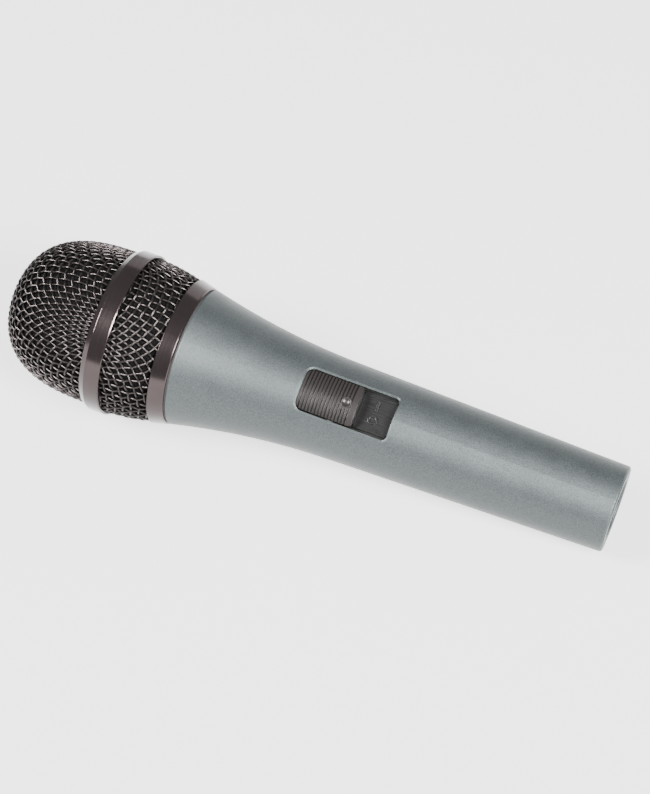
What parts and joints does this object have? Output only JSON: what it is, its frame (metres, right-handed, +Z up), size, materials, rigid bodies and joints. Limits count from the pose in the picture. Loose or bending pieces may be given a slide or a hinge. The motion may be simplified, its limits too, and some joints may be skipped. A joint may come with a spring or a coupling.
{
  "type": "dynamic microphone",
  "caption": "Handheld vocal microphone with a domed wire grille that screws off, a tapered metal handle, a sliding on-off switch and a pin socket in its tail.",
  "frame": {"origin": "on the surface that the microphone lies on, under the middle of its box", "axes": "+Z up; +X along the microphone towards its tail, with the axis leaning down by 4.6 degrees; the switch faces up and towards -Y"},
  "size_m": [0.1832, 0.0484, 0.0486],
  "materials": {
    "handle_paint": "satin",
    "gunmetal": "satin",
    "mesh_wire": "satin",
    "foam": "matte",
    "black_plastic": "matte",
    "knob_plastic": "satin",
    "plated_metal": "polished",
    "dark_steel": "satin",
    "rubber": "matte",
    "board": "matte",
    "lead_red": "satin",
    "lead_black": "satin",
    "cloth": "matte",
    "felt": "matte",
    "film": "gloss",
    "copper": "satin"
  },
  "bodies": {
    "handle": {"handle_shell": "handle_paint", "connector_insert": "black_plastic", "connector_pins": "plated_metal", "connector_screw": "dark_steel", "ground_lug": "plated_metal", "switch_plate": "black_plastic", "switch_screws": "dark_steel", "switch_bracket": "plated_metal", "switch_housing": "plated_metal", "switch_base": "board", "switch_terminals": "plated_metal", "capsule_carrier": "black_plastic", "shock_mount": "rubber", "capsule_lead_live": "lead_red", "capsule_lead_return": "lead_black", "output_lead_live": "lead_red", "output_lead_return": "lead_black", "ground_lead": "lead_black"},
    "slider": {"switch_knob": "knob_plastic", "switch_actuator": "black_plastic", "switch_contacts": "plated_metal"},
    "gasket": {"neck_gasket": "rubber"},
    "grille": {"front_mesh": "mesh_wire", "rear_mesh": "mesh_wire", "front_foam": "foam", "rear_foam": "foam", "grille_band": "gunmetal", "grille_collar": "gunmetal"},
    "capsule": {"capsule_housing": "black_plastic", "capsule_cap": "dark_steel", "dust_cloth": "cloth", "diaphragm_ring": "black_plastic", "magnet": "plated_metal", "pole_piece": "dark_steel", "yoke_cup": "dark_steel", "rear_felt": "felt", "terminal_board": "board"},
    "film": {"diaphragm": "film", "voice_coil": "copper"}
  },
  "joints": [
    {"name": "switch_slide", "type": "slide", "parent": "handle", "child": "slider", "axis": [0.9968, 0, -0.0803], "range_m": [0, 0.0098]},
    {"name": "grille_advance", "type": "slide", "parent": "handle", "child": "gasket", "axis": [-0.9968, 0, 0.0803], "range_m": [0, 0.006]},
    {"name": "grille_unscrew", "type": "hinge", "parent": "gasket", "child": "grille", "pos_m": [-0.03628, 0, 0.0226], "axis": [-0.9968, 0, 0.0803], "range_deg": [0, 2161]},
    {"name": "capsule_float", "type": "slide", "parent": "handle", "child": "capsule", "axis": [-0.9968, 0, 0.0803], "range_m": [-0.0006, 0.0006], "stiffness_N_per_m": 600, "deforming": ["capsule_lead_live", "capsule_lead_return"]},
    {"name": "film_travel", "type": "slide", "parent": "capsule", "child": "film", "axis": [-0.9968, 0, 0.0803], "range_m": [-0.0002, 0.0002], "stiffness_N_per_m": 300}
  ],
  "couplings": [
    {"joint": "grille_unscrew", "follows": "grille_advance", "rad_per_m": 6283.2}
  ]
}
